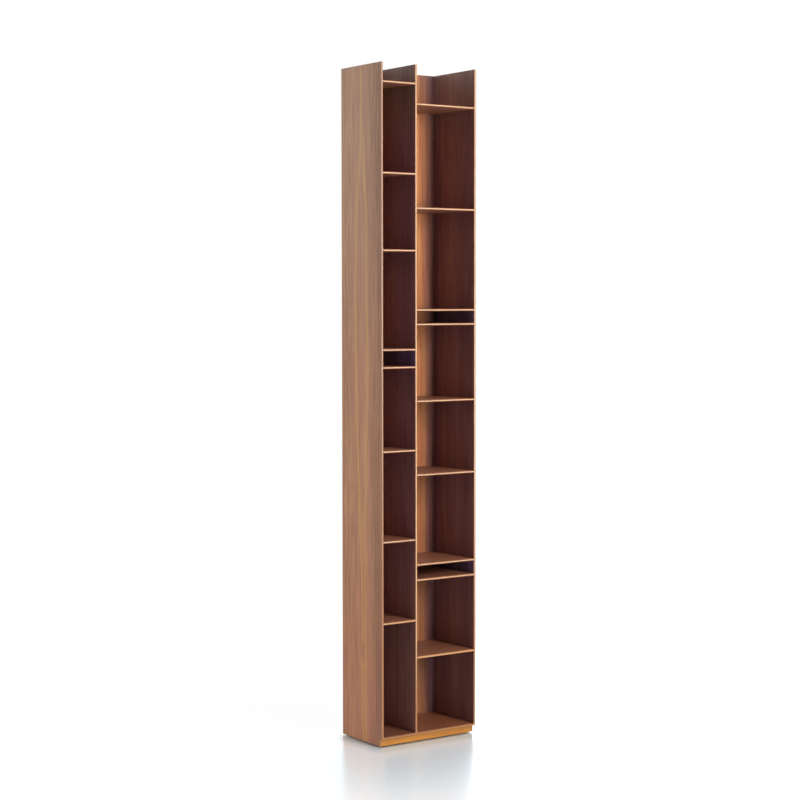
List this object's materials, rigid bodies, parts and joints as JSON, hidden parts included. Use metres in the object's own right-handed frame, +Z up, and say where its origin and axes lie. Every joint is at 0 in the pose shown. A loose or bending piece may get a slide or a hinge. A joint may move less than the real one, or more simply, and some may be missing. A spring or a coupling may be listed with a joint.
{
  "type": "bookcase",
  "caption": "Tall narrow open bookcase of thin walnut-veneered boards: two bays of unequal width with shelves at irregular heights, open top, recessed plinth and levelling feet.",
  "frame": {"origin": "on the floor, under the middle of the case's outer box", "axes": "+Z up; -Y out of the open front, +Y towards the wall; +X to the right seen from the front, with the narrow bay on the -X side"},
  "size_m": [0.412, 0.256, 2.416],
  "materials": {
    "outer_veneer": "vertical-grain walnut veneer, satin lacquer",
    "inner_veneer": "walnut veneer, satin lacquer, redder than the outer faces",
    "edge_lipping": "thin pale veneer lipping, satin lacquer",
    "plinth_veneer": "orange-brown veneer, satin lacquer",
    "softwood": "planed, unfinished",
    "pin_steel": "bright",
    "screw_steel": "zinc plated",
    "plate_steel": "zinc plated",
    "brass": "turned",
    "foot_plastic": "moulded",
    "stem_steel": "zinc plated"
  },
  "bodies": {
    "case": {"left_side_panel": "outer_veneer", "right_side_panel": "outer_veneer", "divider_panel": "inner_veneer", "back_panel": "inner_veneer", "bottom_panel": "inner_veneer", "left_shelf_1": "inner_veneer", "left_shelf_2": "inner_veneer", "left_shelf_3": "inner_veneer", "left_shelf_4": "inner_veneer", "left_shelf_5": "inner_veneer", "left_shelf_6": "inner_veneer", "left_shelf_7": "inner_veneer", "left_shelf_8": "inner_veneer", "right_shelf_1": "inner_veneer", "right_shelf_2": "inner_veneer", "right_shelf_3": "inner_veneer", "right_shelf_4": "inner_veneer", "right_shelf_5": "inner_veneer", "right_shelf_6": "inner_veneer", "right_shelf_7": "inner_veneer", "right_shelf_8": "inner_veneer", "right_shelf_9": "inner_veneer", "upright_lipping": "edge_lipping", "left_shelf_lipping": "edge_lipping", "right_shelf_lipping": "edge_lipping", "bottom_lipping": "edge_lipping", "plinth_front_rail": "plinth_veneer", "plinth_rear_rail": "softwood", "plinth_cross_rail": "softwood", "corner_blocks": "softwood", "left_shelf_pins": "pin_steel", "right_shelf_pins": "pin_steel", "frame_pins": "pin_steel", "back_panel_screws": "screw_steel", "block_screws": "screw_steel", "wall_plate": "plate_steel", "wall_plate_screws": "screw_steel", "foot_bushes": "brass"},
    "pad_front_left": {"foot_pad_front_left": "foot_plastic"},
    "stem_front_left": {"foot_stem_front_left": "stem_steel"},
    "pad_front_right": {"foot_pad_front_right": "foot_plastic"},
    "stem_front_right": {"foot_stem_front_right": "stem_steel"},
    "pad_rear_left": {"foot_pad_rear_left": "foot_plastic"},
    "stem_rear_left": {"foot_stem_rear_left": "stem_steel"},
    "pad_rear_right": {"foot_pad_rear_right": "foot_plastic"},
    "stem_rear_right": {"foot_stem_rear_right": "stem_steel"}
  },
  "joints": [
    {"name": "height_front_left", "type": "slide", "parent": "case", "child": "pad_front_left", "axis": [0, 0, -1], "range_m": [-0.004, 0.008]},
    {"name": "screw_front_left", "type": "hinge", "parent": "pad_front_left", "child": "stem_front_left", "pos_m": [-0.177, -0.079, 0.003], "axis": [0, 0, -1], "range_deg": [-1440, 2880]},
    {"name": "height_front_right", "type": "slide", "parent": "case", "child": "pad_front_right", "axis": [0, 0, -1], "range_m": [-0.004, 0.008]},
    {"name": "screw_front_right", "type": "hinge", "parent": "pad_front_right", "child": "stem_front_right", "pos_m": [0.177, -0.079, 0.003], "axis": [0, 0, -1], "range_deg": [-1440, 2880]},
    {"name": "height_rear_left", "type": "slide", "parent": "case", "child": "pad_rear_left", "axis": [0, 0, -1], "range_m": [-0.004, 0.008]},
    {"name": "screw_rear_left", "type": "hinge", "parent": "pad_rear_left", "child": "stem_rear_left", "pos_m": [-0.177, 0.094, 0.003], "axis": [0, 0, -1], "range_deg": [-1440, 2880]},
    {"name": "height_rear_right", "type": "slide", "parent": "case", "child": "pad_rear_right", "axis": [0, 0, -1], "range_m": [-0.004, 0.008]},
    {"name": "screw_rear_right", "type": "hinge", "parent": "pad_rear_right", "child": "stem_rear_right", "pos_m": [0.177, 0.094, 0.003], "axis": [0, 0, -1], "range_deg": [-1440, 2880]}
  ],
  "couplings": [
    {"joint": "screw_front_left", "follows": "height_front_left", "rad_per_m": 6283.2},
    {"joint": "screw_front_right", "follows": "height_front_right", "rad_per_m": 6283.2},
    {"joint": "screw_rear_left", "follows": "height_rear_left", "rad_per_m": 6283.2},
    {"joint": "screw_rear_right", "follows": "height_rear_right", "rad_per_m": 6283.2}
  ]
}
